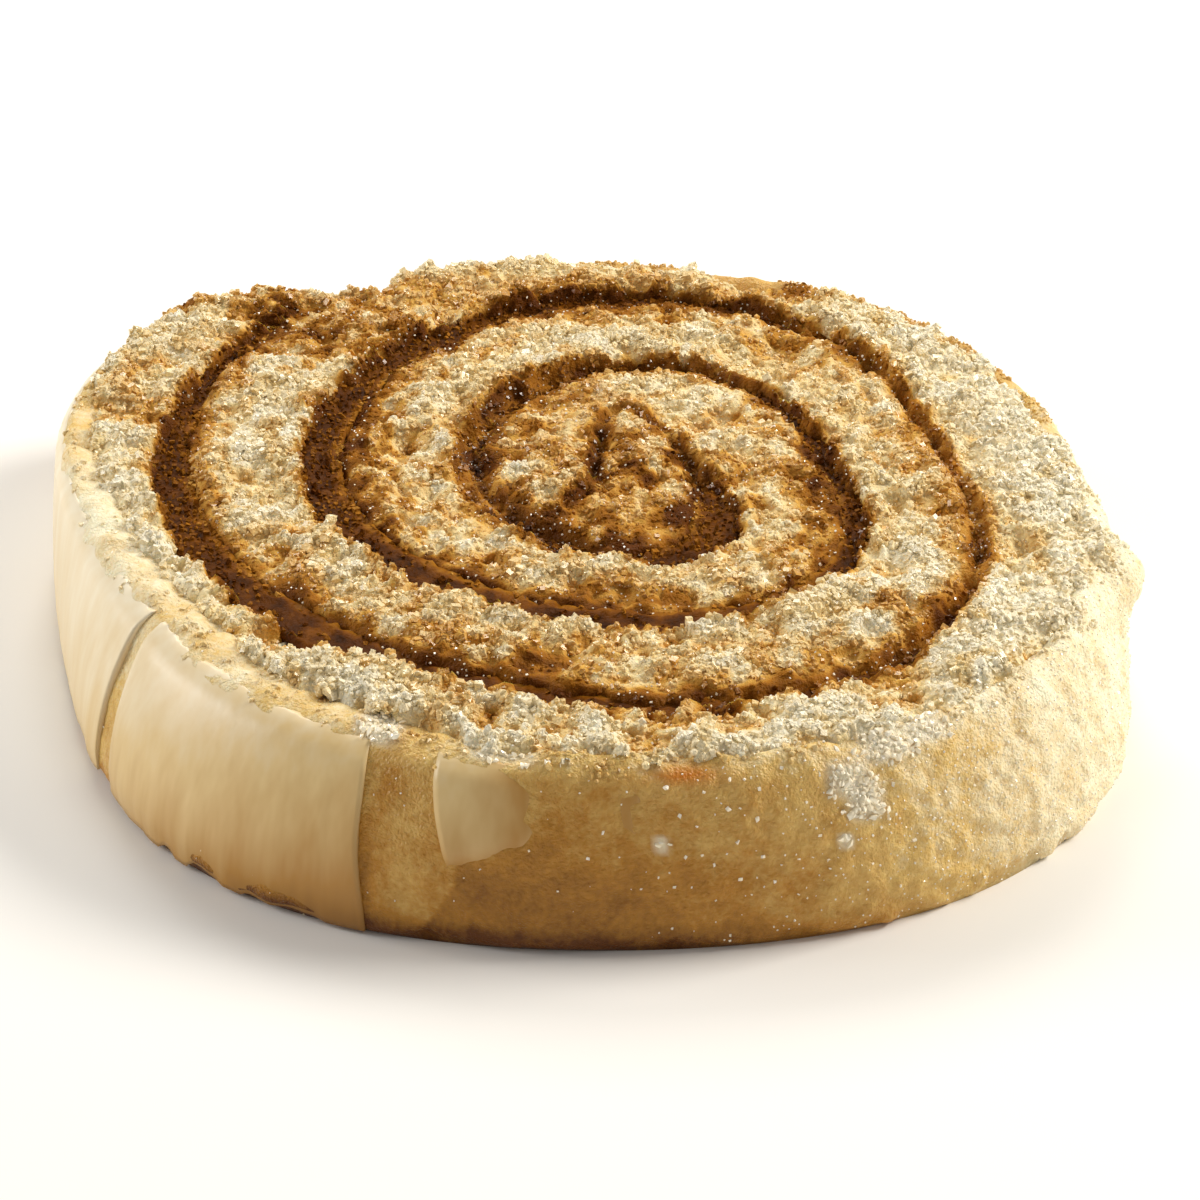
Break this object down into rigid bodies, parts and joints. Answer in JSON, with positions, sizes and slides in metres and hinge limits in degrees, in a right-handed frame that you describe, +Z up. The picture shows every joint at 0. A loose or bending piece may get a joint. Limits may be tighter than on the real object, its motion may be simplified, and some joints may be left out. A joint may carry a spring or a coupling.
{
  "type": "swiss roll slice",
  "caption": "Slice of swiss roll lying on its cut face: a spiral of pale sponge with a dark filling between its turns and sugar glaze panels on its skin.",
  "frame": {"origin": "centre of the slice's bounding box, on the flat face that it lies on", "axes": "+Z up through the slice's thickness; -Y towards the picture's camera, +X to its right"},
  "size_m": [0.0834, 0.0852, 0.0151],
  "materials": {
    "sponge": "open, crumbly sponge cake, matt, with fine sugar sparkle",
    "filling": "dark brown, moist and glossy",
    "glaze": "thin, set sugar glaze, pale cream, satin"
  },
  "bodies": {
    "root": {"sponge": "sponge", "filling": "filling", "glaze_left": "glaze", "glaze_middle": "glaze", "glaze_front": "glaze"}
  },
  "joints": []
}
